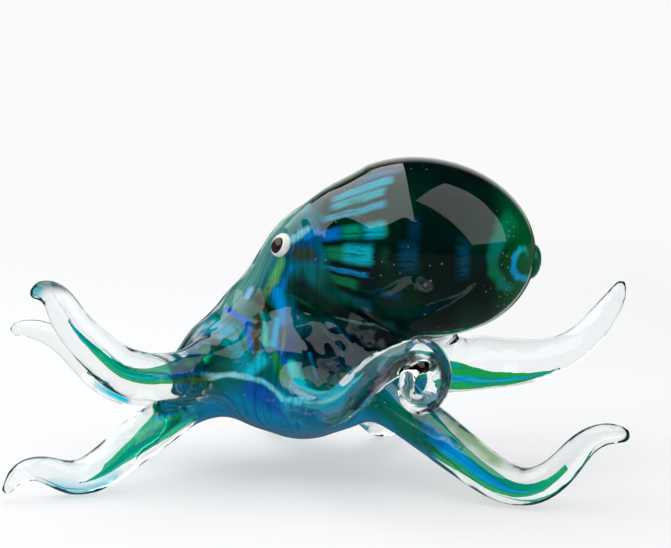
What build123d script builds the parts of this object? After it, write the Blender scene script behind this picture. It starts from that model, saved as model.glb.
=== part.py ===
from build123d import *
import math
import os

# An octopus of hot-worked glass, in millimetres and degrees. It faces -X, its left side is -Y, and Z = 0 is
# the floor. It is laid out from the upright axis of the crown, then moved to the middle of its own box.

# Mantle, the egg of dark glass behind the head, and the clear glass over it
MANTLE_LENGTH = 75.6
MANTLE_DIAMETER = 55.6
MANTLE_AXIS_HEIGHT = 70.5
MANTLE_TILT = 7.0  # rear end down
MANTLE_LEAD = 2.9  # from the crown axis forward to the mantle's front end
CASING_THICKNESS = 3.0

# Bead twisted off at the rear end of the mantle
SWIRL_LENGTH = 6.0
SWIRL_DIAMETER = 11.0
SWIRL_STANDOUT = 1.8

# Crown, the dome that the arms are drawn from, and the belly under it. They meet at the rim.
RIM_HEIGHT = 24.0
CROWN_DIAMETER = 55.0
CROWN_HEIGHT = 28.0
BELLY_DEPTH = 14.0
CROWN_OUTLINE_SHARES = ((1, 0), (0.98, 0.3), (0.91, 0.6), (0.58, 0.92), (0, 1))
BELLY_OUTLINE_SHARES = ((1, 0), (0.91, 0.33), (0.63, 0.66), (0.34, 0.88), (0, 1))

# Head, a bent column from inside the mantle down into the crown: behind a line from the middle of the rim to
# the mantle's front end in head diameters, height from the rim to the mantle's axis, and radius in head radii
HEAD_DIAMETER = 29.0
HEAD_ROUTE_SHARES = (
    (0.6, 1.0, 1.08),
    (0.25, 0.95, 1.1),
    (0.02, 0.81, 0.99),
    (-0.19, 0.61, 1.02),
    (-0.42, 0.42, 1.13),
    (-0.36, 0.24, 1.04),
)

# Eyes, beads of white glass with a black one on each
EYE_DIAMETER = 8.0
EYE_THICKNESS = 4.4
EYE_ANGLE = 48.0  # each side of the middle of the forehead
EYE_STATION_SHARE = 0.29
PUPIL_DIAMETER = 4.6
PUPIL_THICKNESS = 2.6
PUPIL_FORWARD = 1.2
PUPIL_SEAT_SHARE = 0.34

# Arms: each has a bearing round the crown, a reach in plan, a diameter at its root and a high point
UPPER_ROOT_HEIGHT = 32.0
LOWER_ROOT_HEIGHT = 25.0
FOOT_FLAT_DEPTH = 0.5  # ground off where an arm stands on the floor

LEFT_ARM_1_BEARING = 204.0
LEFT_ARM_1_REACH = 88.0
LEFT_ARM_1_DIAMETER = 18.0
LEFT_ARM_1_HIGH = 63.0

LEFT_ARM_2_BEARING = 206.0
LEFT_ARM_2_REACH = 100.0
LEFT_ARM_2_DIAMETER = 15.2

LEFT_ARM_3_BEARING = 302.0
LEFT_ARM_3_REACH = 65.0
LEFT_ARM_3_DIAMETER = 14.0
LEFT_ARM_3_HIGH = 47.0

LEFT_ARM_4_BEARING = 329.0
LEFT_ARM_4_REACH = 111.0
LEFT_ARM_4_DIAMETER = 16.8

RIGHT_ARM_1_BEARING = 161.0
RIGHT_ARM_1_REACH = 99.6
RIGHT_ARM_1_DIAMETER = 13.6
RIGHT_ARM_1_HIGH = 39.0

RIGHT_ARM_2_BEARING = 98.0
RIGHT_ARM_2_REACH = 84.0
RIGHT_ARM_2_DIAMETER = 15.0

RIGHT_ARM_3_BEARING = 62.0
RIGHT_ARM_3_REACH = 78.0
RIGHT_ARM_3_DIAMETER = 15.0

RIGHT_ARM_4_BEARING = 20.0
RIGHT_ARM_4_REACH = 110.0
RIGHT_ARM_4_DIAMETER = 19.6
RIGHT_ARM_4_HIGH = 53.0

# Routes of the arms: out along the bearing and to its left in reaches, height, and radius in root radii.
# The height of a raised arm runs from its root at 0 to its high point at 1, and that of a standing arm from
# its foot to its root.
LEFT_ARM_1_SHARES = (
    (0.13, -0.01, 0.13, 1.35),
    (0.32, 0.06, 0.12, 1.15),
    (0.49, 0.1, 0.12, 0.99),
    (0.63, 0.12, 0.12, 0.88),
    (0.72, 0.125, 0.19, 0.81),
    (0.8, 0.115, 0.37, 0.73),
    (0.865, 0.09, 0.57, 0.67),
    (0.91, 0.055, 0.79, 0.61),
    (0.937, 0.03, 0.95, 0.48),
    (0.98, 0.012, 1.01, 0.33),
    (1.01, 0.0, 0.92, 0.22),
)
LEFT_ARM_2_SHARES = (
    (0.105, -0.065, 1.06, 1.08),
    (0.23, -0.09, 1.0, 1.0),
    (0.38, -0.075, 0.85, 0.96),
    (0.455, -0.045, 0.69, 0.96),
    (0.585, 0.0, 0.4, 0.92),
    (0.695, 0.018, 0.09, 0.83),
    (0.77, 0.026, 0.0, 0.75),
    (0.835, 0.027, 0.1, 0.64),
    (0.895, 0.02, 0.21, 0.55),
    (0.95, 0.015, 0.16, 0.45),
    (0.983, 0.01, -0.02, 0.34),
    (0.997, 0.007, -0.14, 0.28),
)
LEFT_ARM_3_SHARES = (
    (0.1, -0.1, 0.18, 1.1),
    (0.21, -0.2, 0.18, 0.96),
    (0.39, -0.26, 0.1, 0.82),
    (0.63, -0.245, 0.12, 0.78),
    (0.795, -0.195, 0.49, 0.81),
    (0.91, -0.125, 0.83, 0.73),
)
LEFT_ARM_4_SHARES = (
    (0.125, 0.02, 1.15, 1.15),
    (0.255, -0.005, 1.08, 1.02),
    (0.44, -0.05, 0.68, 0.91),
    (0.575, -0.075, 0.31, 0.82),
    (0.67, -0.08, 0.06, 0.77),
    (0.745, -0.078, 0.0, 0.71),
    (0.805, -0.063, 0.14, 0.65),
    (0.855, -0.043, 0.44, 0.59),
    (0.897, -0.029, 0.74, 0.52),
    (0.95, -0.017, 0.91, 0.45),
    (1.0, -0.005, 0.9, 0.36),
)
RIGHT_ARM_1_SHARES = (
    (0.13, -0.01, 0.2, 1.3),
    (0.27, -0.046, 0.0, 1.06),
    (0.46, -0.036, -0.29, 0.88),
    (0.65, -0.025, -0.26, 0.78),
    (0.75, -0.033, 0.11, 0.72),
    (0.82, -0.03, 0.57, 0.66),
    (0.885, -0.019, 0.88, 0.59),
    (0.95, -0.007, 1.01, 0.53),
    (1.0, 0.0, 0.97, 0.43),
)
RIGHT_ARM_2_SHARES = (
    (0.14, 0.0, 1.0, 1.12),
    (0.31, 0.0, 0.87, 1.0),
    (0.47, 0.02, 0.46, 0.9),
    (0.61, 0.03, 0.08, 0.82),
    (0.715, 0.02, 0.0, 0.74),
    (0.8, 0.0, 0.13, 0.64),
    (0.88, -0.03, 0.44, 0.55),
    (0.95, -0.05, 0.74, 0.45),
    (1.0, -0.05, 0.92, 0.34),
)
RIGHT_ARM_3_SHARES = (
    (0.15, 0.0, 1.0, 1.12),
    (0.33, 0.0, 0.87, 1.0),
    (0.49, -0.02, 0.46, 0.9),
    (0.62, -0.03, 0.08, 0.82),
    (0.71, -0.02, 0.0, 0.74),
    (0.79, 0.0, 0.13, 0.64),
    (0.87, 0.03, 0.44, 0.55),
    (0.94, 0.05, 0.74, 0.45),
    (1.0, 0.05, 0.92, 0.34),
)
RIGHT_ARM_4_SHARES = (
    (0.11, -0.01, -0.03, 1.12),
    (0.245, -0.022, -0.02, 1.04),
    (0.41, -0.034, -0.04, 1.0),
    (0.505, -0.022, -0.07, 0.94),
    (0.675, 0.0, -0.13, 0.78),
    (0.81, 0.011, -0.05, 0.6),
    (0.9, 0.016, 0.21, 0.53),
    (0.96, 0.014, 0.57, 0.46),
    (0.99, 0.003, 0.83, 0.36),
    (1.0, 0.0, 1.0, 0.26),
)

# Coil at the end of the third left arm: a spiral that turns inwards and drifts sideways
COIL_DIAMETER = 17.0
COIL_TURNS = 1.07
COIL_SWING = 40.0  # of its plane, from the animal's length
COIL_DRIFT = 5.0
COIL_STEPS = 12
COIL_START_ANGLE = 98.0
COIL_CENTRE_SHARES = (0.99, 0.015, 0.62)
COIL_END_SHARE = 0.55
COIL_ROOT_SHARE = 0.63
COIL_TIP_SHARE = 0.27

# Sections along an arm, and the round end past its last point
ARM_STEPS = 26
HEAD_STEPS = 12
EYE_STEPS = 24  # finer steps along the head, to place the eyes
CAP_ANGLES = (30.0, 55.0, 74.0)
SETTLE_PASSES = 3  # to bring a standing arm's foot down to the floor

# Threads of colour in an arm: radius along the thread, and place off the arm's middle, in arm radii. The
# green thread lies along the top of the blue one.
BLUE_THREAD_SHARES = ((0, 0.46), (0.35, 0.4), (0.75, 0.24), (1, 0.06))
BLUE_UP_SHARE = -0.16
GREEN_THREAD_SHARES = ((0, 0.2), (0.4, 0.17), (0.8, 0.12), (1, 0.04))
GREEN_ABOVE_BLUE_SHARE = 0.66
# Lengths of the blue and the green thread in arm lengths, and how much of the full thickness both have
THREAD_SHARES = {
    "left_arm_1": (0.8, 0.86, 0.58),
    "left_arm_2": (0.72, 0.66, 0.85),
    "left_arm_3": (0.48, 0.4, 1),
    "left_arm_4": (0.82, 0.86, 1),
    "right_arm_1": (0.7, 0.6, 0.6),
    "right_arm_2": (0.72, 0.7, 0.8),
    "right_arm_3": (0.66, 0.72, 0.8),
    "right_arm_4": (0.7, 0.76, 0.66),
}


def egg(length, diameter):
    """An egg about the X axis, with its middle at the origin, turned from half its outline."""
    edge = EllipticalCenterArc((0, 0), length / 2, diameter / 2, start_angle=0, arc_size=180)
    return revolve(make_face(edge + Line(edge @ 1, edge @ 0)), Axis.X).solid()


def bead(length, diameter):
    """A flat bead about the X axis, with its middle at the origin."""
    return scale(Sphere(1), by=(length / 2, diameter / 2, diameter / 2)).solid()


def revolved_dome(diameter, height, outline_shares):
    """A dome on the rim plane, upwards, or downwards where the height is negative."""
    points = [(diameter / 2 * radius, 0, RIM_HEIGHT + height * up) for radius, up in outline_shares]
    foot = (0, 0, RIM_HEIGHT)
    edge = Spline(*points, tangents=[(0, 0, math.copysign(1, height)), (-1, 0, 0)])
    outline = edge + Line(points[-1], foot) + Line(foot, points[0])
    return revolve(make_face(outline), Axis.Z).solid()


def blend(table, at):
    """The value at a place in a table of (place, value) rows."""
    for (start, first), (end, last) in zip(table, table[1:]):
        if at <= end:
            return first + (last - first) * (at - start) / (end - start)
    return table[-1][1]


def stations(points, radii, steps):
    """Sections at even steps along a smooth line: centre, direction, upper side and radius."""
    line = Spline(*points)
    travelled = [0]
    for start, end in zip(points, points[1:]):
        travelled.append(travelled[-1] + (end - start).length)
    thickness = [(place / travelled[-1], radius) for place, radius in zip(travelled, radii)]
    up = Vector(0, 0, 1)
    rows = []
    for step in range(steps + 1):
        share = step / steps
        along = line.tangent_at(share)
        up = (up - along * up.dot(along)).normalized()
        rows.append((line.position_at(share), along, up, blend(thickness, share)))
    return rows


def loft_sections(rows):
    """A solid through round sections."""
    return Solid.make_loft(
        [Wire.make_circle(radius, Plane(centre, x_dir=up, z_dir=along)) for centre, along, up, radius in rows]
    )


def rounded_end(row):
    """Sections that close a tube with a dome past its last station."""
    centre, along, up, radius = row
    rows = []
    for angle in CAP_ANGLES:
        turn = math.radians(angle)
        rows.append((centre + along * radius * math.sin(turn), along, up, radius * math.cos(turn)))
    return rows


def head_stations(steps):
    points = []
    radii = []
    for behind, up, radius in HEAD_ROUTE_SHARES:
        height = RIM_HEIGHT + up * (MANTLE_AXIS_HEIGHT - RIM_HEIGHT)
        points.append(Vector(behind * HEAD_DIAMETER - up * MANTLE_LEAD, 0, height))
        radii.append(radius * HEAD_DIAMETER / 2)
    return stations(points, radii, steps)


def place_on_bearing(bearing, reach, out, side, height):
    """A point out along an arm's bearing and to the left of it."""
    turn = math.radians(bearing)
    x = out * math.cos(turn) - side * math.sin(turn)
    y = out * math.sin(turn) + side * math.cos(turn)
    return Vector(reach * x, reach * y, height)


def arm_route(bearing, reach, diameter, low, high, route_shares):
    """Points and radii of an arm between a low and a high level."""
    points = []
    radii = []
    for out, side, up, radius in route_shares:
        points.append(place_on_bearing(bearing, reach, out, side, low + up * (high - low)))
        radii.append(radius * diameter / 2)
    return points, radii


def arm_stations(bearing, reach, diameter, low, high, route_shares):
    points, radii = arm_route(bearing, reach, diameter, low, high, route_shares)
    return stations(points, radii, ARM_STEPS)


def lowest_point(rows):
    return min(centre.Z - radius * math.hypot(along.X, along.Y) for centre, along, _, radius in rows)


def standing_stations(bearing, reach, diameter, route_shares):
    """Sections of an arm whose foot reaches just under the floor, by the depth that is ground off."""
    low = diameter / 2
    for _ in range(SETTLE_PASSES):
        rows = arm_stations(bearing, reach, diameter, low, LOWER_ROOT_HEIGHT, route_shares)
        low -= lowest_point(rows) + FOOT_FLAT_DEPTH
    return rows


def coiled_stations():
    """Sections of the third left arm, which rises and then turns in on itself."""
    bearing, reach, low, high = LEFT_ARM_3_BEARING, LEFT_ARM_3_REACH, LOWER_ROOT_HEIGHT, LEFT_ARM_3_HIGH
    points, radii = arm_route(bearing, reach, LEFT_ARM_3_DIAMETER, low, high, LEFT_ARM_3_SHARES)
    out, side, up = COIL_CENTRE_SHARES
    middle = place_on_bearing(bearing, reach, out, side, low + up * (high - low))
    swing = math.radians(COIL_SWING)
    across = Vector(math.cos(swing), math.sin(swing), 0)
    for step in range(COIL_STEPS + 1):
        done = step / COIL_STEPS
        turn = math.radians(COIL_START_ANGLE - 360 * COIL_TURNS * done)
        size = COIL_DIAMETER / 2 * (1 + (COIL_END_SHARE - 1) * done)
        drift = Vector(0, -COIL_DRIFT * done, 0)
        points.append(middle + across * size * math.cos(turn) + Vector(0, 0, size * math.sin(turn)) + drift)
        radii.append(LEFT_ARM_3_DIAMETER / 2 * (COIL_ROOT_SHARE + (COIL_TIP_SHARE - COIL_ROOT_SHARE) * done))
    return stations(points, radii, ARM_STEPS + COIL_STEPS)


def all_arm_stations():
    return {
        "left_arm_1": arm_stations(
            LEFT_ARM_1_BEARING, LEFT_ARM_1_REACH, LEFT_ARM_1_DIAMETER,
            UPPER_ROOT_HEIGHT, LEFT_ARM_1_HIGH, LEFT_ARM_1_SHARES),
        "left_arm_2": standing_stations(
            LEFT_ARM_2_BEARING, LEFT_ARM_2_REACH, LEFT_ARM_2_DIAMETER, LEFT_ARM_2_SHARES),
        "left_arm_3": coiled_stations(),
        "left_arm_4": standing_stations(
            LEFT_ARM_4_BEARING, LEFT_ARM_4_REACH, LEFT_ARM_4_DIAMETER, LEFT_ARM_4_SHARES),
        "right_arm_1": arm_stations(
            RIGHT_ARM_1_BEARING, RIGHT_ARM_1_REACH, RIGHT_ARM_1_DIAMETER,
            LOWER_ROOT_HEIGHT, RIGHT_ARM_1_HIGH, RIGHT_ARM_1_SHARES),
        "right_arm_2": standing_stations(
            RIGHT_ARM_2_BEARING, RIGHT_ARM_2_REACH, RIGHT_ARM_2_DIAMETER, RIGHT_ARM_2_SHARES),
        "right_arm_3": standing_stations(
            RIGHT_ARM_3_BEARING, RIGHT_ARM_3_REACH, RIGHT_ARM_3_DIAMETER, RIGHT_ARM_3_SHARES),
        "right_arm_4": arm_stations(
            RIGHT_ARM_4_BEARING, RIGHT_ARM_4_REACH, RIGHT_ARM_4_DIAMETER,
            UPPER_ROOT_HEIGHT, RIGHT_ARM_4_HIGH, RIGHT_ARM_4_SHARES),
    }


def thread_along(rows, length_share, radius_shares, width_share, up_share):
    """A thread of colour along the first part of an arm, off its middle."""
    count = round(length_share * (len(rows) - 1))
    thread = []
    for step, (centre, along, up, radius) in enumerate(rows[:count + 1]):
        thin = radius * width_share * blend(radius_shares, step / count)
        thread.append((centre + up * radius * up_share, along, up, thin))
    return loft_sections(thread)


def mantle_pieces(head):
    """Whole egg, casing and core with the head let into the front, and the rear bead."""
    inner_length = MANTLE_LENGTH - 2 * CASING_THICKNESS
    inner_diameter = MANTLE_DIAMETER - 2 * CASING_THICKNESS
    middle = Pos(MANTLE_LENGTH / 2 - MANTLE_LEAD, 0, MANTLE_AXIS_HEIGHT) * Rot(0, MANTLE_TILT, 0)
    outer = middle * egg(MANTLE_LENGTH, MANTLE_DIAMETER)
    inner = middle * egg(inner_length, inner_diameter)
    swirl_middle = MANTLE_LENGTH / 2 + SWIRL_STANDOUT - SWIRL_LENGTH / 2
    swirl = middle * Pos(swirl_middle, 0, 0) * bead(SWIRL_LENGTH, SWIRL_DIAMETER)
    return outer, outer - inner - head, inner - head, swirl - outer


def eye_pieces(side, skin):
    """White bead and pupil on one side of the head, seated on what is under them."""
    centre, along, up, radius = head_stations(EYE_STEPS)[round(EYE_STATION_SHARE * EYE_STEPS)]
    turn = math.radians(EYE_ANGLE)
    outward = up * math.cos(turn) + Vector(0, side * math.sin(turn), 0)
    seat = centre + outward * radius
    white = Plane(seat, x_dir=outward, z_dir=along) * bead(EYE_THICKNESS, EYE_DIAMETER)
    pupil_seat = seat + outward * EYE_THICKNESS * PUPIL_SEAT_SHARE + along * PUPIL_FORWARD
    pupil = Plane(pupil_seat, x_dir=outward, z_dir=along) * bead(PUPIL_THICKNESS, PUPIL_DIAMETER)
    for piece in skin:
        white = white - piece
        pupil = pupil - piece
    return white, pupil - white


def arm_pieces(name, rows, body):
    """Clear arm and its two threads, from the crown outwards and above the floor."""
    blue_length, green_length, width = THREAD_SHARES[name]
    green_up = BLUE_UP_SHARE + width * GREEN_ABOVE_BLUE_SHARE
    blue = thread_along(rows, blue_length, BLUE_THREAD_SHARES, width, BLUE_UP_SHARE) - body
    green = thread_along(rows, green_length, GREEN_THREAD_SHARES, width, green_up) - body
    arm = loft_sections(rows + rounded_end(rows[-1])) - body - blue - green
    arm = split(arm, Plane.XY, keep=Keep.TOP)
    return arm, blue, green


def build():
    head = loft_sections(head_stations(HEAD_STEPS))
    outer, casing, core, swirl = mantle_pieces(head)
    dome = revolved_dome(CROWN_DIAMETER, CROWN_HEIGHT, CROWN_OUTLINE_SHARES)
    belly = revolved_dome(CROWN_DIAMETER, -BELLY_DEPTH, BELLY_OUTLINE_SHARES)
    body = head + dome + belly + outer
    pieces = {
        "mantle_casing": casing,
        "mantle_core": core,
        "rear_swirl": swirl,
        "head": head,
        "crown": dome - outer - head,
        "belly": belly,
    }
    for name, rows in all_arm_stations().items():
        arm, blue, green = arm_pieces(name, rows, body)
        pieces[name] = arm
        pieces[name + "_blue_thread"] = blue
        pieces[name + "_green_thread"] = green
    for name, side in (("left", -1), ("right", 1)):
        white, pupil = eye_pieces(side, (head, outer))
        pieces[name + "_eye_white"] = white
        pieces[name + "_pupil"] = pupil
    return pieces


def write_parts(pieces):
    """Each piece to its own file, with the origin on the floor under the middle of the whole figure."""
    box = Compound(children=[Compound(piece.solids()) for piece in pieces.values()]).bounding_box()
    middle = box.center()
    os.makedirs("parts", exist_ok=True)
    for name, piece in pieces.items():
        moved = Pos(-middle.X, -middle.Y, 0) * Compound(piece.solids())
        moved.label = name
        export_step(moved, os.path.join("parts", name + ".step"))


write_parts(build())
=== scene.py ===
import math

import bmesh
import bpy
from mathutils import Matrix, Vector
from mathutils.bvhtree import BVHTree


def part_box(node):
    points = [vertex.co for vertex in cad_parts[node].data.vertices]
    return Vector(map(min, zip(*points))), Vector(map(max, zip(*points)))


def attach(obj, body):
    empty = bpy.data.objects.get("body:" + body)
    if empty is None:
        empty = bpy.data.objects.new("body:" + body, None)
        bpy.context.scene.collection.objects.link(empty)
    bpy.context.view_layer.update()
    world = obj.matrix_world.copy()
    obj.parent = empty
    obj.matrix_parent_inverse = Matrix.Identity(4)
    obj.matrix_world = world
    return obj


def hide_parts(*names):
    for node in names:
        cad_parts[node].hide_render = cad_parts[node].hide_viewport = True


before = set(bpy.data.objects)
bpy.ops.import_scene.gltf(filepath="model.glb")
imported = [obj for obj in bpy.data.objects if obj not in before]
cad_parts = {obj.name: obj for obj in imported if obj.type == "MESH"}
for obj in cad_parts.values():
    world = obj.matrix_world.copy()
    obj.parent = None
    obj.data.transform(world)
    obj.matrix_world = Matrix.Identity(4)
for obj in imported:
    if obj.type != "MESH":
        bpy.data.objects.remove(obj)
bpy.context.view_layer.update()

MM = 0.001

# The octopus faces -X, and the photograph is taken from its left side, from -Y
ARMS = [f"{side}_arm_{number}" for side in ("left", "right") for number in (1, 2, 3, 4)]
BODY = ["head", "crown", "belly"]
HUB = sum(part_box("belly"), Vector()) / 2
MANTLE_LOW, MANTLE_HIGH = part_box("mantle_casing")
MANTLE = (MANTLE_LOW + MANTLE_HIGH) / 2
MANTLE_SIZE = MANTLE_HIGH - MANTLE_LOW
MANTLE_TILT = math.radians(7)

# Camera
PHOTO_WIDTH = 671
PIXEL = 0.3125 * MM  # at the aim point
AIM_BEHIND_HUB = 10 * MM
AIM_HEIGHT = 62 * MM
AIM = Vector((HUB.x + AIM_BEHIND_HUB, HUB.y, AIM_HEIGHT))
CAMERA_DISTANCE = 850 * MM
CAMERA_ELEVATION = math.radians(9)
SENSOR_WIDTH = 36.0

# Clear glass run together hot: the solids grow near the hub, are fused and shrink again, which leaves webs
SKIN_VOXEL = 0.85 * MM
SKIN_PASSES = 4
WEB_RADIUS = 14 * MM
WEB_LOW = 22 * MM  # below here the webs are small
WEB_HIGH = 42 * MM  # and above here they are full
WEB_LOW_SHARE = 0.3
WEB_STEP = 5 * MM  # grown at a time, so that clefts close and never cross
MANTLE_WEB_RADIUS = 8 * MM
COIL_WEB_RADIUS = 3.5 * MM
WEB_NEAR = 40 * MM  # from the hub: full webs up to here
WEB_FAR = 64 * MM  # and none past here
HUB_PASSES = 20
FRONT_WEB = Vector((-32.5 * MM, HUB.y, 43.5 * MM))  # between the first arms, up to the chin
FRONT_WEB_HALF = Vector((21, 13, 5.5)) * MM
FRONT_WEB_SLOPE = math.radians(-38)
BROW_HEIGHT = MANTLE.z + 5 * MM  # where the forehead runs up into the mantle
BROW_WIDTH = 12 * MM
BROW_PASSES = 140
MANTLE_SNAP = 0.9 * MM  # the skin follows the true egg where it lies this near to it
MANTLE_LEAVE = 3 * MM  # and leaves it past here
MERGE = 0.002 * MM

# Waves and lumps in the clear skin, which bend what is seen through it
WAVE_HEIGHT = 0.8 * MM
LUMP_HEIGHT = 2.4 * MM
LUMP_FADE = (30 * MM, 46 * MM)  # from the hub

# Threads in the arms
THREAD_VOXEL = 0.45 * MM
THREAD_PASSES = 4
THREAD_WEB_RADIUS = 0.8 * MM
THREAD_PULL = 0.75  # of the way from the green thread to the blue one
THREADS_APART = 38 * MM  # from the hub: two threads up to here
THREADS_MEET = 62 * MM  # and one ribbon from here
THREAD_LIFTS = {"left_arm_1": 1 * MM, "left_arm_3": 3 * MM, "right_arm_3": 4 * MM, "right_arm_4": -2 * MM}
RIGHT_ARM_4_PULL = 0.95

# Eyes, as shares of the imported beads
EYE_LEAN = math.radians(14)
EYE_LIFT = 0.9 * MM
EYE_WIDTH = 0.8
EYE_HEIGHT = 1.0
PUPIL_WIDTH = 0.95
PUPIL_HEIGHT = 1.2

# Colour under the clear glass
COLOUR_DEPTH = 2.0 * MM
COLOUR_REACH = 62 * MM
COLOUR_SIDES = 12
COLOUR_FADE = (31 * MM, 43 * MM)  # from the hub: where it thins out
COLOUR_STREAKS = 26 * MM  # by which its streaks differ in length
COLOUR_BEARING = Vector((0.78, -0.62))  # towards the fourth arm on the left, where it goes further out
COLOUR_FURTHER = 14 * MM
COLOUR_WARP = 3 * MM  # by which the lines of colour wander
EGG_INSET = 0.15 * MM  # of the mantle's colour under the head's
BELLY_EDGE = (26 * MM, 31 * MM)  # height at which the belly's blue ends
NECK_INSET = 26 * MM
NECK = Vector((MANTLE_LOW.x + NECK_INSET, 0, MANTLE.z))  # a slanting cut, from forehead to under the mantle
NECK_LEAN = math.radians(43)
NECK_NORMAL = Vector((math.cos(NECK_LEAN), 0, math.sin(NECK_LEAN)))
NECK_FADE = 15 * MM

# Studio, in metres
OVERHEAD_PLACE = Vector((-0.45, 0, 0.8))
OVERHEAD_SIZE = (0.86, 1.9)
OVERHEAD_RADIANCE = 2.3
SIDE_PLACE = Vector((0.56, -0.28, 0.68))
SIDE_SIZE = (0.74, 1.15)
SIDE_RADIANCE = 1.35
LIGHT_AIM = Vector((0, 0, 60 * MM))
FLOOR_RADIUS = 6
FLOOR_WHITENS = (0.2, 0.6)  # from the middle: between these the paper turns white


def rgb(red, green, blue):
    """A screen colour, 0 to 255, as the shader's own linear values."""
    linear = []
    for level in (red, green, blue):
        share = level / 255
        linear.append(share / 12.92 if share <= 0.04045 else ((share + 0.055) / 1.055) ** 2.4)
    return (*linear, 1)


# Tints of the threads, which colour what is seen through them
YELLOW = rgb(195, 228, 60)
GREEN = rgb(20, 168, 85)
CYAN = rgb(0, 192, 216)
BLUE = rgb(0, 128, 220)
PALE = rgb(140, 230, 236)

# Bars on the mantle: degrees from its top, half width in degrees, start and end along it, and colour
MANTLE_BARS = (
    (22, 4, 0.2, 0.42, rgb(0, 90, 130)),
    (31, 5, 0.1, 0.39, rgb(0, 150, 175)),
    (40, 5, 0.1, 0.36, rgb(0, 150, 160)),
    (51, 4, 0.06, 0.36, rgb(0, 140, 165)),
    (69, 8, 0.03, 0.17, rgb(0, 105, 180)),
    (69, 8, 0.14, 0.25, rgb(0, 135, 110)),
    (69, 8, 0.23, 0.35, rgb(0, 165, 180)),
    (69, 8, 0.32, 0.355, rgb(70, 160, 60)),
    (69, 10, 0.42, 0.5, rgb(0, 42, 68)),
    (88, 9, 0.05, 0.2, rgb(0, 115, 72)),
    (88, 10, 0.15, 0.3, rgb(0, 168, 185)),
    (89, 9, 0.31, 0.37, rgb(0, 62, 44)),
    (89, 13, 0.38, 0.49, rgb(0, 56, 76)),
    (91, 17, 0.62, 0.7, rgb(0, 62, 84)),
    (104, 3, 0.05, 0.28, rgb(0, 125, 180)),
    (115, 6, 0.05, 0.24, rgb(0, 112, 72)),
    (117, 5, 0.3, 0.42, rgb(0, 48, 74)),
    (132, 7, 0.06, 0.3, rgb(0, 66, 80)),
    (152, 8, 0.1, 0.4, rgb(0, 60, 52)),
)

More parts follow.
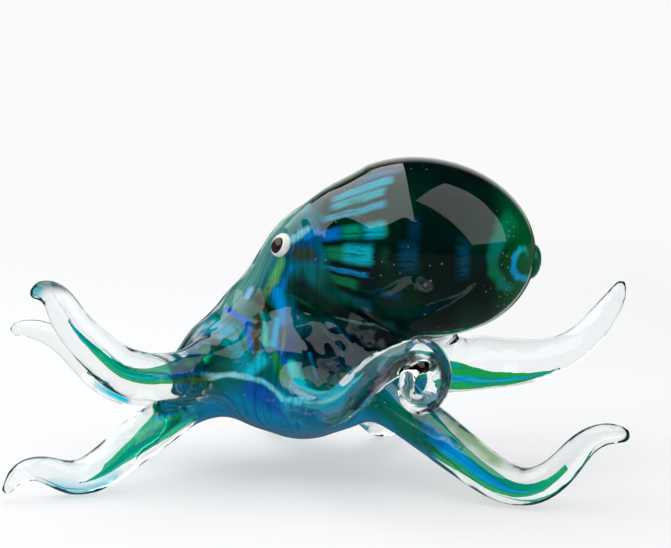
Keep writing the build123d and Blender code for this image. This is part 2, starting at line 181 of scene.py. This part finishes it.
# Streaks on head and crown, both sides alike: start, end (x, off the middle, z), half width, in mm, colour
BODY_STREAKS = (
    ((0, 21, 42.5), (20, 13, 43), 13, rgb(0, 16, 24)),  # painted shade on the crown's side, in the hollow under the mantle
    # painted shade too, the lighter edge of the one above
    ((2, 22.5, 37), (10, 19, 38), 6, rgb(0, 34, 52)),
    ((-4, 13.5, 54), (16, 14, 51), 6, rgb(0, 12, 10)),  # shade under the mantle
    ((2.5, 15, 50.5), (9, 16.5, 44.5), 0.9, rgb(0, 62, 84)),  # rings round the dark side of the crown
    ((9, 16.5, 44.5), (10.5, 17.5, 40.5), 0.9, rgb(0, 62, 84)),
    ((0, 16, 48.5), (6.5, 18.5, 43), 0.9, rgb(0, 62, 84)),
    ((6.5, 18.5, 43), (7, 20, 39.5), 0.9, rgb(0, 62, 84)),
    ((-9, 12.5, 58), (-1.5, 13.5, 53.5), 0.6, rgb(52, 108, 96)),  # pale thread at the foot of the mantle
    ((-1.5, 13.5, 53.5), (6, 15, 50.5), 0.6, rgb(52, 108, 96)),
    ((6, 15, 50.5), (14.5, 15, 49), 0.6, rgb(52, 108, 96)),
    ((14.5, 15, 49), (23, 12.5, 45), 0.6, rgb(52, 108, 96)),
    ((-8, 0, 82), (-26, 6.5, 53.5), 9, rgb(88, 146, 138)),  # forehead
    ((-19, 21, 29), (-12, 25, 26), 6, rgb(0, 84, 165)),
    ((18, 22.5, 26), (30, 32.5, 20.5), 7, rgb(0, 88, 76)),  # root of the fourth arm
    ((28, 30, 22), (42, 44, 15), 8, rgb(0, 96, 74)),
    ((-6, 12.5, 60), (1, 14, 54), 6, rgb(0, 40, 32)),
    ((-6, 12, 70), (-2, 13.5, 70), 3.4, rgb(46, 66, 52)),
    ((-7, 10, 74), (-3, 10.5, 77), 2, rgb(120, 190, 205)),
    ((-3, 11.5, 75), (1, 13, 77.5), 1.8, rgb(0, 120, 195)),
    ((-11, 10, 68), (-13, 11, 62), 2.2, rgb(85, 168, 98)),
    ((-13, 11, 62), (-15, 11, 58), 1.8, rgb(92, 150, 98)),
    ((-8, 12, 66), (-12, 12, 58), 1.6, rgb(0, 112, 190)),
    ((-12, 12, 58), (-11, 13, 54), 2.4, rgb(0, 140, 212)),
    ((-11, 13, 54), (-10, 15.5, 49), 2.2, rgb(0, 135, 205)),
    ((-15, 11, 59), (-16, 12, 55), 1.4, rgb(78, 102, 68)),
    ((-18, 10.5, 56), (-14, 13, 53), 2.2, rgb(12, 36, 24)),
    ((-20, 8, 58), (-21, 9, 56), 1.7, rgb(150, 190, 235)),
    ((-34, 7, 45.5), (-26, 18, 44.5), 6, rgb(0, 155, 178)),  # fan of bands on the root of the first arm
    ((-26, 18, 44.5), (-23, 22, 37), 5, rgb(0, 136, 156)),
    ((-28, 7, 51), (-22, 13.5, 49), 2, rgb(0, 96, 190)),
    ((-22, 13.5, 49), (-20, 19.5, 42), 2.2, rgb(0, 96, 190)),
    ((-31, 4.5, 49), (-25, 16, 46), 0.8, rgb(0, 112, 66)),
    ((-25, 16, 46), (-22, 21, 41), 0.8, rgb(0, 112, 66)),
    ((-33.5, 6, 46.5), (-27, 20, 43.5), 0.7, rgb(0, 120, 75)),
    ((-27, 20, 43.5), (-24, 22.5, 38), 0.7, rgb(0, 120, 75)),
    ((-38.5, 10.5, 40), (-30, 24, 41.5), 3, rgb(32, 48, 34)),
    ((-17, 12.5, 53), (-19, 16, 46), 2.2, rgb(58, 60, 40)),
    ((-19, 16, 46), (-18, 21.5, 39), 2.2, rgb(66, 66, 44)),
    ((-17, 13, 52), (-16, 15.5, 47), 0.9, rgb(0, 170, 150)),
    ((-16, 15.5, 47), (-15, 19, 43), 1.7, rgb(0, 178, 150)),
    ((-12, 14.5, 50), (-13, 19.5, 43), 1.6, rgb(0, 162, 208)),
    ((-9, 15, 50), (-11, 21.5, 41), 0.9, rgb(95, 100, 62)),
    ((-17, 21.5, 39), (-21, 21.5, 34.5), 2.8, rgb(0, 182, 200)),
    ((-13, 21.5, 40), (-10, 24.5, 33), 2, rgb(22, 130, 60)),
    ((-8, 23, 38), (-5, 28, 32), 2.4, rgb(20, 182, 180)),
    ((-11, 20.5, 42), (-10, 22.5, 38), 1.5, rgb(0, 90, 185)),
    ((-3, 22.5, 41), (-1, 24, 33.5), 0.9, rgb(0, 104, 140)),
    ((-44.5, 34, 36), (-38.5, 30, 35), 1.3, rgb(140, 208, 216)),  # painted highlight along the skirt's edge, where a softbox is reflected on its ridge
    ((-38.5, 30, 35), (-32.5, 26.5, 35), 1.3, rgb(140, 208, 216)),
    ((-32.5, 26.5, 35), (-26, 23, 34.5), 1.3, rgb(140, 208, 216)),
    ((-26, 23, 34.5), (-22, 21.5, 33.5), 1.3, rgb(140, 208, 216)),
    ((-22, 21.5, 33.5), (-18, 21, 32), 1.3, rgb(110, 204, 214)),
    ((-18, 21, 32), (-14, 23, 30), 1.3, rgb(110, 204, 214)),
    ((-14, 23, 30), (-9.5, 29.5, 28.5), 1.3, rgb(110, 204, 214)),
    ((-9.5, 29.5, 28.5), (-5.5, 36, 28.5), 1.5, rgb(80, 200, 212)),
    ((-5.5, 36, 28.5), (-1.5, 40.5, 29), 1.8, rgb(80, 200, 212)),
)

# The same on the mantle's rear end, on its left side alone
REAR_STREAKS = (
    ((59, 11.5, 80), (56, 16.5, 77.5), 5, rgb(0, 104, 64)),
    ((56, 16.5, 77.5), (54, 19, 74), 4, rgb(0, 110, 84)),
    ((54, 19, 74), (53, 20, 70), 3.2, rgb(0, 110, 104)),
    ((53, 20, 70), (53.5, 19.5, 66), 2.8, rgb(0, 98, 74)),
    ((53.5, 19.5, 66), (55.5, 17, 62.5), 2.8, rgb(0, 100, 62)),
    ((55.5, 17, 62.5), (58.5, 13, 60.5), 2.4, rgb(0, 104, 90)),
    ((63.5, 9, 69.5), (63, 10, 71.5), 1.3, rgb(0, 120, 96)),
    ((63, 10, 71.5), (61.5, 12.5, 71.5), 1.5, rgb(10, 145, 130)),
    ((61.5, 12.5, 71.5), (59.8, 14.6, 69.5), 1.7, rgb(10, 158, 180)),
    ((59.8, 14.6, 69.5), (59.4, 15, 66.5), 1.9, rgb(0, 142, 198)),
    ((59.4, 15, 66.5), (60.6, 13, 64), 1.8, rgb(0, 132, 190)),
    ((60.6, 13, 64), (63.2, 8, 62.2), 1.5, rgb(0, 146, 180)),
    ((63.2, 8, 62.2), (67, 4, 62.5), 1.3, rgb(0, 150, 160)),
)

# Tints in the clear glass of the arms: start, end (x, y, z), half width, in mm, and colour
CLEAR_TINTS = (
    ((-86, -50, 59), (-83, -50, 65), 4, rgb(20, 150, 165)),  # hook of the first arm
    ((-82, -50, 66), (-75, -49, 65), 4, rgb(0, 50, 70)),
    ((-79, -54, 3), (-69, -50, 0), 6, rgb(110, 200, 230)),  # foot of the second
    ((-69, -50, 0), (-61, -48, 4), 6, rgb(110, 200, 230)),
    ((30, -62, 49), (37, -65, 48), 3.5, rgb(30, 160, 200)),  # coil of the third
    ((37, -65, 48), (40, -65, 38), 3.5, rgb(40, 150, 165)),
    ((40, -44, 27), (46, -52, 21), 7, rgb(92, 150, 84)),  # upper side of the fourth
    ((46, -52, 21), (53, -59, 15), 6, rgb(110, 170, 96)),
    ((94, -69, 21), (86, -68, 18), 4, rgb(50, 120, 110)),
    ((-72, 9, 22), (-62, 6, 18), 3, rgb(0, 165, 200)),  # underside of the first on the right
)


class Value:
    """A shader socket that takes Python's operators. Each operation adds a Math node."""

    def __init__(self, net, socket):
        self.net = net
        self.socket = socket

    def __add__(self, other):
        return self.net.math("ADD", self, other)

    def __sub__(self, other):
        return self.net.math("SUBTRACT", self, other)

    def __rsub__(self, other):
        return self.net.math("SUBTRACT", other, self)

    def __mul__(self, other):
        return self.net.math("MULTIPLY", self, other)

    def __truediv__(self, other):
        return self.net.math("DIVIDE", self, other)

    __radd__ = __add__


class Net:
    """The nodes of one material or of the world."""

    def __init__(self, owner):
        owner.use_nodes = True
        self.owner = owner
        self.tree = owner.node_tree
        self.tree.nodes.clear()

    def node(self, kind, settings=None, inputs=None, output=0):
        """Adds a node, with its settings first and then its sockets, and returns one of its outputs."""
        node = self.tree.nodes.new("ShaderNode" + kind)
        for name, setting in (settings or {}).items():
            if name == "stops":
                self.set_stops(node.color_ramp, setting)
            else:
                setattr(node, name, setting)
        for name, value in (inputs or {}).items():
            if isinstance(value, Value):
                self.tree.links.new(value.socket, node.inputs[name])
            else:
                node.inputs[name].default_value = value
        return Value(self, node.outputs[output] if node.outputs else None)

    def set_stops(self, ramp, stops):
        while len(ramp.elements) < len(stops):
            ramp.elements.new(1)
        for element, (place, colour) in zip(ramp.elements, stops):
            element.position = place
            element.color = colour

    def math(self, operation, *parts):
        return self.node("Math", {"operation": operation}, dict(enumerate(parts)))

    def step(self, value, low, high):
        """0 below low, 1 above high, and smooth between them."""
        return self.node("MapRange", {"interpolation_type": "SMOOTHSTEP"},
                         {"Value": value, "From Min": low, "From Max": high})

    def mix(self, share, first, last):
        return self.node("Mix", {"data_type": "RGBA"}, {0: share, 6: first, 7: last}, 2)

    def ramp(self, value, stops):
        return self.node("ValToRGB", {"stops": stops}, {0: value})

    def place(self):
        """X, Y and Z of a point of the piece, in metres."""
        point = self.node("TexCoord", output=3)
        return [self.node("SeparateXYZ", None, {0: point}, axis) for axis in range(3)]

    def vector(self, x, y, z):
        return self.node("CombineXYZ", None, {0: x, 1: y, 2: z})

    def noise(self, vector, scale, detail=2.0, output=0):
        return self.node("TexNoise", None, {"Vector": vector, "Scale": scale, "Detail": detail}, output)

    def length(self, first, last):
        return self.math("SQRT", first * first + last * last)

    def around(self, first, last):
        """Cosine and sine of the bearing of a point, so that a pattern has no seam."""
        radius = self.length(first, last) + 1e-6
        return first / radius, last / radius

    def warped(self, point, scale, amount):
        """The point moved a little by a noise, so that lines drawn on it run like hot glass."""
        noise = self.noise(point, scale, 1.0, 1)
        shift = self.node("VectorMath", {"operation": "SUBTRACT"}, {0: noise, 1: [0.5] * 3})
        return self.node("VectorMath", {"operation": "MULTIPLY_ADD"}, {0: shift, 1: [amount] * 3, 2: point})

    def streak(self, point, start, end, half, core):
        """1 along a line between two points and 0 past its half width, all in millimetres."""
        start, end = Vector(start) * MM, Vector(end) * MM
        axis = (end - start) / (end - start).length_squared
        along = self.node("VectorMath", {"operation": "DOT_PRODUCT"}, {0: point, 1: axis}, 1)
        along = self.node("Math", {"operation": "SUBTRACT", "use_clamp": True},
                          {0: along, 1: start.dot(axis)})
        nearest = self.node("VectorMath", {"operation": "MULTIPLY_ADD"},
                            {0: along, 1: end - start, 2: start})
        away = self.node("VectorMath", {"operation": "DISTANCE"}, {0: point, 1: nearest}, 1)
        return 1 - self.step(away, half * core * MM, half * MM)

    def specks(self, point, scale, size):
        """1 in small round seeds scattered through the glass, and 0 between them."""
        away = self.node("TexVoronoi", None, {"Vector": point, "Scale": scale})
        here = self.step(self.noise(point, scale * 0.12, 1.0), 0.52, 0.58)
        return here * (1 - self.step(away, size * 0.5, size))

    def bump(self, height, strength, distance):
        return self.node("Bump", None, {"Height": height, "Strength": strength, "Distance": distance})

    def surface(self, shader):
        self.node("OutputMaterial", None, {"Surface": shader})
        return self.owner


def new_net(name):
    return Net(bpy.data.materials.new(name))


def egg_depth(net, x, y, z):
    """1 on the mantle's egg, less inside it and more outside."""
    half = MANTLE_SIZE / 2
    along = (x - MANTLE.x) * math.cos(MANTLE_TILT) - (z - MANTLE.z) * math.sin(MANTLE_TILT)
    across = (x - MANTLE.x) * math.sin(MANTLE_TILT) + (z - MANTLE.z) * math.cos(MANTLE_TILT)
    ball = net.vector(along / half.x, (y - MANTLE.y) / half.y, across / half.z)
    return net.node("VectorMath", {"operation": "LENGTH"}, {0: ball}, 1)


def clear_glass():
    net = new_net("clear_glass")
    x, y, z = net.place()
    point = net.vector(x, y, z)
    off_mantle = net.step(egg_depth(net, x, y, z), 1.0, 1.1)
    from_hub = net.length(x - HUB.x, y - HUB.y)
    lumps = net.noise(point, 105, 1.0) * off_mantle * (1 - net.step(from_hub, *LUMP_FADE))
    waves = net.noise(point, 75, 1.0) * (off_mantle + 0.15)
    colour = rgb(250, 253, 253)
    for start, end, half, tint in CLEAR_TINTS:
        colour = net.mix(net.streak(point, start, end, half, 0.2), colour, tint)
    shader = net.node("BsdfPrincipled", None, {
        "Base Color": colour,
        "Roughness": 0.0,
        "IOR": 1.52,
        "Transmission Weight": 1.0,
        "Normal": net.bump(waves * WAVE_HEIGHT + lumps * LUMP_HEIGHT, 1.0, 1.0),
    })
    return net.surface(shader)


def mantle_shades(net, x, y, z, rear_streaks):
    """Dark green, with bars of colour drawn back from the head and a green rear end."""
    aside = net.math("ABSOLUTE", y - MANTLE.y)
    wobble = net.noise(net.vector(x, y, z), 90, 2.0) - 0.5
    angle = net.math("ARCTAN2", aside, z - MANTLE.z) + wobble * 0.12
    back = (x - MANTLE_LOW.x) / MANTLE_SIZE.x + wobble * 0.03
    strands = net.noise(net.vector(x * 30, angle * 5, 0), 4.0, 3.0) - 0.5
    back = back + strands * 0.05
    clouds = net.noise(net.vector(x, y, z), 38, 3.0)
    colour = net.ramp(clouds, [(0.3, rgb(0, 9, 9)), (0.5, rgb(0, 24, 19)), (0.72, rgb(0, 48, 30))])
    colour = net.mix(net.step(back, 0.75, 0.95), colour, rgb(0, 82, 42))
    for middle, half, start, end, shade in MANTLE_BARS:
        inside = 1 - net.step(net.math("ABSOLUTE", angle - math.radians(middle)), math.radians(half) * 0.4,
                              math.radians(half) * 1.1)
        length = net.step(back, start, start + 0.05) * (1 - net.step(back, end - 0.03, end + 0.006))
        colour = net.mix(inside * length * net.step(strands, -0.25, 0.0), colour, shade)
    point = net.warped(net.vector(x, MANTLE.y - y, z), 90, COLOUR_WARP)
    for start, end, half, shade in rear_streaks:
        colour = net.mix(net.streak(point, start, end, half, 0.1), colour, shade)
    return colour


def body_shades(net, x, y, z):
    """Bands of teal, blue and green down the head and out over the crown, and a deep blue belly."""
    point = net.warped(net.vector(x, net.math("ABSOLUTE", y - MANTLE.y), z), 110, COLOUR_WARP)
    clouds = net.noise(point, 48, 2.0)
    colour = net.ramp(clouds, [(0.32, rgb(0, 34, 34)), (0.45, rgb(0, 92, 80)), (0.55, rgb(0, 105, 120)),
                               (0.68, rgb(0, 62, 120))])
    under = 1 - net.step(z, *BELLY_EDGE)
    colour = net.mix(under, colour, net.mix(clouds, rgb(0, 90, 132), rgb(0, 146, 186)))
    for start, end, half, shade in BODY_STREAKS:
        colour = net.mix(net.streak(point, start, end, half, 0.2), colour, shade)
    ahead, aside = net.around(x - HUB.x, y - HUB.y)
    drawn = net.noise(net.vector(ahead * 9, aside * 9, z * 22), 2.4, 3.0)
    return net.node("Mix", {"data_type": "RGBA", "blend_type": "MULTIPLY"},
                    {0: 1.0, 6: colour, 7: net.step(drawn, 0.2, 0.62) * 0.6 + 0.5}, 2)


def coloured_glass(net, colour, rough, clear):
    """Coloured glass with seeds in it, and a faint painted glow that stands in for the light coming through
    it.
    """
    point = net.vector(*net.place())
    colour = net.mix(net.specks(point, 520, 0.16) * 0.7, colour, rgb(140, 175, 130))
    shader = net.node("BsdfPrincipled", None, {
        "Base Color": colour,
        "Roughness": rough,
        "Specular IOR Level": 0.0,
        # painted glow: the glass gives off its own colour, as if lit from behind
        "Emission Color": colour,
        "Emission Strength": 0.35,
        "Alpha": clear,
    })
    return net.surface(shader)


def mantle_colour():
    net = new_net("mantle_colour")
    x, y, z = net.place()
    ragged = net.noise(net.vector(x, y, z), 160, 2.0) - 0.5
    return coloured_glass(net, mantle_shades(net, x, y, z, REAR_STREAKS), 0.4 + ragged * 0.2, 1.0)


def body_colour():
    """The mantle's own pattern covers what lies in its egg, and the colour thins out in the arms' roots."""
    net = new_net("body_colour")
    x, y, z = net.place()
    ragged = net.noise(net.vector(x, y, z), 160, 2.0) - 0.5
    outside = net.step(egg_depth(net, x, y, z) + ragged * 0.1, 0.97, 1.03)
    colour = net.mix(outside, mantle_shades(net, x, y, z, ()), body_shades(net, x, y, z))
    ahead, aside = net.around(x - HUB.x, y - HUB.y)
    streaks = net.noise(net.vector(ahead * 11, aside * 11, z * 190), 1.0, 2.0) - 0.5
    from_hub = net.length(x - HUB.x, y - HUB.y) + streaks * COLOUR_STREAKS
    towards = net.step(ahead * COLOUR_BEARING.x + aside * COLOUR_BEARING.y, 0.86, 0.97)
    thinned = net.step(from_hub - towards * COLOUR_FURTHER, *COLOUR_FADE) * outside
    return coloured_glass(net, colour, 0.4 + ragged * 0.2, 1 - thinned)


def thread_colour(name, below, low, high, above, clearness):
    """A streak of see-through colour, whose lower and upper edges differ from its middle."""
    net = new_net(name)
    x, y, z = net.place()
    drawn = net.noise(net.vector(x, y, z), 110, 2.0)
    facing = net.node("SeparateXYZ", None, {0: net.node("TexCoord", output=1)}, 2)
    level = facing * 0.5 + drawn * 0.3 + 0.35
    shader = net.node("BsdfPrincipled", None, {
        "Base Color": net.ramp(level, [(0.3, below), (0.43, low), (0.54, high), (0.7, above)]),
        "Roughness": 0.02 + drawn * 0.06,
        "IOR": 1.0,
        "Specular IOR Level": 0.0,
        "Transmission Weight": clearness,
    })
    return net.surface(shader)


def glossy_glass(name, first, last, scale):
    """Opaque glass with a faint mottle."""
    net = new_net(name)
    x, y, z = net.place()
    mottle = net.noise(net.vector(x, y, z), scale, 3.0)
    shader = net.node("BsdfPrincipled", None, {
        "Base Color": net.mix(net.step(mottle, 0.35, 0.65), first, last),
        "Roughness": 0.05 + mottle * 0.05,
        "IOR": 1.52,
    })
    return net.surface(shader)


def fused(shape, voxel):
    """The solids run together into one closed skin."""
    mesh = bpy.data.meshes.new("fusing")
    shape.to_mesh(mesh)
    shape.free()
    holder = bpy.data.objects.new("fusing", mesh)
    bpy.context.scene.collection.objects.link(holder)
    remesh = holder.modifiers.new("Remesh", "REMESH")
    remesh.mode = "VOXEL"
    remesh.voxel_size = voxel
    skin = bpy.data.meshes.new_from_object(holder.evaluated_get(bpy.context.evaluated_depsgraph_get()))
    bpy.data.objects.remove(holder)
    bpy.data.meshes.remove(mesh)
    shape = bmesh.new()
    shape.from_mesh(skin)
    bpy.data.meshes.remove(skin)
    return shape


def smooth(shape, verts, times):
    for _ in range(times):
        bmesh.ops.smooth_vert(shape, verts=verts, factor=0.5,
                              use_axis_x=True, use_axis_y=True, use_axis_z=True)


def ease(share):
    """Smooth from 0 to 1, and level outside them."""
    share = min(max(share, 0), 1)
    return share * share * (3 - 2 * share)


def near_hub(point):
    """1 near the hub, and 0 far from it."""
    away = ((point - HUB).xy.length - WEB_NEAR) / (WEB_FAR - WEB_NEAR)
    low = 1 - ease((point.z - WEB_LOW) / (WEB_HIGH - WEB_LOW))
    return (1 - ease(away)) * (1 - low * (1 - WEB_LOW_SHARE))


def near_neck(point):
    """The same, but 0 on the mantle."""
    return near_hub(point) * (1 - ease((point - NECK).dot(NECK_NORMAL) / NECK_FADE))


def everywhere(point):
    return 1


def swell(shape, amount, share):
    """Moves the surface out, by a share that depends on the place."""
    shape.normal_update()
    for vert in shape.verts:
        vert.co += vert.normal * amount * share(vert.co)


def shrink(shape, amount, share):
    """Takes a swelling back: each point goes in as far as the point that it comes to went out."""
    shape.normal_update()
    for vert in shape.verts:
        place = vert.co
        for _ in range(3):
            place = vert.co - vert.normal * amount * share(place)
        vert.co = place


def webbed(shape, radius, share, voxel, passes):
    """Fills the clefts between the solids with webs of about this radius."""
    steps = math.ceil(radius / WEB_STEP)
    for _ in range(steps):
        swell(shape, radius / steps, share)
        shape = fused(shape, voxel)
    smooth(shape, shape.verts, passes)
    shrink(shape, radius, share)
    return shape


def add_nodes(shape, names):
    """Puts copies of the nodes' solids beside what is already in the shape."""
    for name in names:
        shape.from_mesh(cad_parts[name].data)
    bmesh.ops.remove_doubles(shape, verts=shape.verts, dist=MERGE)
    return shape


def add_shape(shape, other):
    """Moves another shape into this one."""
    mesh = bpy.data.meshes.new("moving")
    other.to_mesh(mesh)
    other.free()
    shape.from_mesh(mesh)
    bpy.data.meshes.remove(mesh)


def add_piece(name, shape, material, nodes):
    for face in shape.faces:
        face.smooth = True
    mesh = bpy.data.meshes.new(name)
    shape.to_mesh(mesh)
    shape.free()
    mesh.materials.append(material)
    piece = bpy.data.objects.new(name, mesh)
    bpy.context.scene.collection.objects.link(piece)
    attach(piece, "root")
    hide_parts(*nodes)
    return piece


def egg(inset):
    """From a unit ball to the mantle's egg, or to one inside it."""
    half = MANTLE_SIZE / 2 - Vector((inset, inset, inset))
    return Matrix.Translation(MANTLE) @ Matrix.Rotation(MANTLE_TILT, 4, "Y") @ Matrix.Diagonal((*half, 1))


def snap_to_egg(shape):
    """Takes the last ripples off the mantle, and lets the skin leave it softly."""
    to_ball = egg(0).inverted()
    for vert in shape.verts:
        true = egg(0) @ (to_ball @ vert.co).normalized()
        away = (true - vert.co).length
        vert.co = true.lerp(vert.co, ease((away - MANTLE_SNAP) / (MANTLE_LEAVE - MANTLE_SNAP)))


def clear_skin_shape():
    """Arms fused into the body, then the casing, and the coiled arm last, because its coil stays open."""
    coiled = "left_arm_3"
    rest = [arm for arm in ARMS if arm != coiled]
    shape = add_nodes(bmesh.new(), rest + BODY)
    place = Matrix.Translation(FRONT_WEB) @ Matrix.Rotation(FRONT_WEB_SLOPE, 4, "Y")
    place @= Matrix.Diagonal((*FRONT_WEB_HALF, 1))
    bmesh.ops.create_icosphere(shape, subdivisions=4, radius=1, matrix=place)
    shape = fused(shape, SKIN_VOXEL)
    shape = webbed(shape, WEB_RADIUS, near_hub, SKIN_VOXEL, SKIN_PASSES)
    shape = fused(add_nodes(shape, ["mantle_casing", "mantle_core"]), SKIN_VOXEL)
    shape = webbed(shape, MANTLE_WEB_RADIUS, near_neck, SKIN_VOXEL, SKIN_PASSES)
    shape = fused(add_nodes(shape, [coiled]), SKIN_VOXEL)
    shape = webbed(shape, COIL_WEB_RADIUS, near_neck, SKIN_VOXEL, SKIN_PASSES)
    snap_to_egg(shape)
    smooth(shape, [v for v in shape.verts if near_neck(v.co) > WEB_LOW_SHARE / 2], HUB_PASSES)
    brow = [v for v in shape.verts
            if v.co.z > BROW_HEIGHT and abs((v.co - NECK).dot(NECK_NORMAL)) < BROW_WIDTH]
    smooth(shape, brow, BROW_PASSES)
    return shape


def cut_away(shape, point, outward):
    """Cuts off what lies past a plane and closes the cut with a flat face."""
    everything = shape.verts[:] + shape.edges[:] + shape.faces[:]
    bmesh.ops.bisect_plane(shape, geom=everything, plane_co=point, plane_no=outward, clear_outer=True)
    rim = [edge for edge in shape.edges if edge.is_boundary]
    bmesh.ops.holes_fill(shape, edges=rim)
    for edge in rim:
        edge.smooth = False


def add_colour(skin):
    """The coloured glass under the clear skin, parted at the neck and ended in the arms' roots."""
    skin.normal_update()
    inner = skin.copy()
    for vert in inner.verts:
        vert.co -= vert.normal * COLOUR_DEPTH
    cut_away(inner, NECK, NECK_NORMAL)
    for side in range(COLOUR_SIDES):
        bearing = 2 * math.pi * side / COLOUR_SIDES
        outward = Vector((math.cos(bearing), math.sin(bearing), 0))
        cut_away(inner, HUB + outward * COLOUR_REACH, outward)
    add_piece("body_colour", inner, body_colour(), BODY)
    mantle = bmesh.new()
    bmesh.ops.create_icosphere(mantle, subdivisions=6, radius=1, matrix=egg(COLOUR_DEPTH + EGG_INSET))
    add_piece("mantle_core_colour", mantle, mantle_colour(), ["mantle_core"])


def add_thread(arm, material, pull=THREAD_PULL):
    """The blue and the green thread of an arm, which run together into one ribbon further out."""
    pair = [arm + "_blue_thread", arm + "_green_thread"]
    shape, green = [fused(add_nodes(bmesh.new(), [name]), THREAD_VOXEL) for name in pair]
    blue = BVHTree.FromBMesh(shape)
    for vert in green.verts:
        out = ease(((vert.co - HUB).xy.length - THREADS_APART) / (THREADS_MEET - THREADS_APART))
        vert.co = vert.co.lerp(blue.find_nearest(vert.co)[0], pull * out)
    add_shape(shape, green)
    bmesh.ops.translate(shape, verts=shape.verts, vec=(0, 0, THREAD_LIFTS.get(arm, 0)))
    shape = webbed(shape, THREAD_WEB_RADIUS, everywhere, THREAD_VOXEL, THREAD_PASSES)
    add_piece(arm + "_thread", shape, material, pair)


def add_eye(side, white, black):
    """The applied eye, an oval that leans back, with a tall pupil at its front edge."""
    beads = ((side + "_eye_white", "white_glass", white, EYE_WIDTH, EYE_HEIGHT),
             (side + "_pupil", "black_glass", black, PUPIL_WIDTH, PUPIL_HEIGHT))
    for node, slot, material, width, height in beads:
        low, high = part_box(node)
        front = Vector((low.x, (low.y + high.y) / 2, (low.z + high.z) / 2))
        lift = Matrix.Translation((0, 0, EYE_LIFT))
        shape = add_nodes(bmesh.new(), [node])
        turn = lift @ Matrix.Rotation(EYE_LEAN, 4, "Y") @ Matrix.Diagonal((width, 1, height, 1))
        bmesh.ops.transform(shape, matrix=turn, space=Matrix.Translation(-front), verts=shape.verts)
        add_piece(node.replace("eye_white", "eye") + "_oval", shape, material, [node])


def dress(nodes, material):
    """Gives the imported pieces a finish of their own."""
    for name in nodes:
        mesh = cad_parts[name].data
        mesh.materials.clear()
        mesh.materials.append(material)
        for face in mesh.polygons:
            face.use_smooth = True


def add_camera():
    data = bpy.data.cameras.new("camera")
    data.sensor_fit = "HORIZONTAL"
    data.sensor_width = SENSOR_WIDTH
    data.lens = SENSOR_WIDTH * CAMERA_DISTANCE / (PIXEL * PHOTO_WIDTH)
    camera = bpy.data.objects.new("camera", data)
    ahead = Vector((0, math.cos(CAMERA_ELEVATION), -math.sin(CAMERA_ELEVATION)))
    camera.location = AIM - ahead * CAMERA_DISTANCE
    camera.rotation_euler = ahead.to_track_quat("-Z", "Y").to_euler()
    bpy.context.scene.collection.objects.link(camera)
    bpy.context.scene.camera = camera


def add_softbox(name, centre, size, radiance):
    """A panel of light that faces the figurine."""
    data = bpy.data.lights.new(name, "AREA")
    data.shape = "RECTANGLE"
    data.size, data.size_y = size
    data.energy = radiance * math.pi * size[0] * size[1]
    lamp = bpy.data.objects.new(name, data)
    lamp.location = centre
    lamp.rotation_euler = (LIGHT_AIM - lamp.location).to_track_quat("-Z", "Y").to_euler()
    lamp.visible_camera = False
    bpy.context.scene.collection.objects.link(lamp)
    return lamp


def mirrored(net):
    """1 for what is seen by reflection, and 0 for what is seen straight or through glass."""
    return net.node("LightPath", output=3) * (1 - net.node("LightPath", output=6))


def add_studio():
    overhead = add_softbox("overhead_softbox", OVERHEAD_PLACE, OVERHEAD_SIZE, OVERHEAD_RADIANCE)
    overhead.rotation_euler = (0, 0, 0)  # straight down
    add_softbox("side_softbox", SIDE_PLACE, SIDE_SIZE, SIDE_RADIANCE)

    world = bpy.data.worlds.new("studio")
    bpy.context.scene.world = world
    net = Net(world)
    direction = net.node("TexCoord", output=0)
    depth = net.node("SeparateXYZ", None, {0: direction}, 1)
    backdrop = net.step(depth, 0.0, 0.5)
    white = rgb(250, 250, 250)
    front = net.mix(net.node("LightPath", output=6), rgb(112, 115, 120), rgb(222, 225, 228))
    colour = net.mix(backdrop, front, white)
    colour = net.mix(net.node("LightPath", output=0), colour, white)
    colour = net.mix(mirrored(net), colour, net.mix(net.step(depth, 0.8, 0.99), rgb(22, 24, 26), white))
    light = net.node("Background", None, {"Color": colour, "Strength": 1.0})
    net.node("OutputWorld", None, {"Surface": light})

    shape = bmesh.new()
    bmesh.ops.create_circle(shape, cap_ends=True, segments=64, radius=FLOOR_RADIUS)
    mesh = bpy.data.meshes.new("floor")
    shape.to_mesh(mesh)
    shape.free()
    floor = bpy.data.objects.new("floor", mesh)
    bpy.context.scene.collection.objects.link(floor)
    net = new_net("floor")
    x, y = net.place()[:2]
    far = net.step(net.length(x, y), *FLOOR_WHITENS) * 0.5 + 0.5
    paper = net.node("BsdfDiffuse", None, {"Color": rgb(224, 225, 227)})
    glow = net.node("Emission", None, {"Color": rgb(250, 250, 250), "Strength": 1.0})
    plain = net.node("MixShader", None, {0: far, 1: paper, 2: glow})
    dim = net.node("Emission", None, {"Color": rgb(86, 88, 90), "Strength": 1.0})
    mesh.materials.append(net.surface(net.node("MixShader", None, {0: mirrored(net), 1: plain, 2: dim})))


add_camera()
skin_shape = clear_skin_shape()
add_colour(skin_shape)
add_piece("clear_skin", skin_shape, clear_glass(), ARMS + ["mantle_casing"])
green_below = thread_colour("thread_green_below", YELLOW, GREEN, CYAN, BLUE, 0.9)
green_above = thread_colour("thread_green_above", PALE, CYAN, BLUE, GREEN, 0.9)
green_edges = thread_colour("thread_green_edges", GREEN, CYAN, BLUE, GREEN, 0.9)
turquoise = thread_colour("thread_turquoise", CYAN, PALE, PALE, CYAN, 0.25)
add_thread("left_arm_1", green_below)
add_thread("left_arm_4", green_below)
add_thread("right_arm_3", turquoise)
add_thread("right_arm_4", green_edges, RIGHT_ARM_4_PULL)
for arm in ("left_arm_2", "right_arm_1", "right_arm_2"):
    add_thread(arm, green_above)
add_thread("left_arm_3", turquoise)
dress(["rear_swirl"], glossy_glass("rear_swirl", rgb(0, 100, 48), rgb(0, 84, 70), 260))
white = glossy_glass("eye_white", rgb(235, 235, 228), rgb(222, 224, 222), 400)
black = glossy_glass("pupil_black", rgb(14, 10, 12), rgb(48, 36, 40), 300)
for side in ("left", "right"):
    add_eye(side, white, black)
add_studio()
bpy.context.scene.view_settings.view_transform = "Standard"
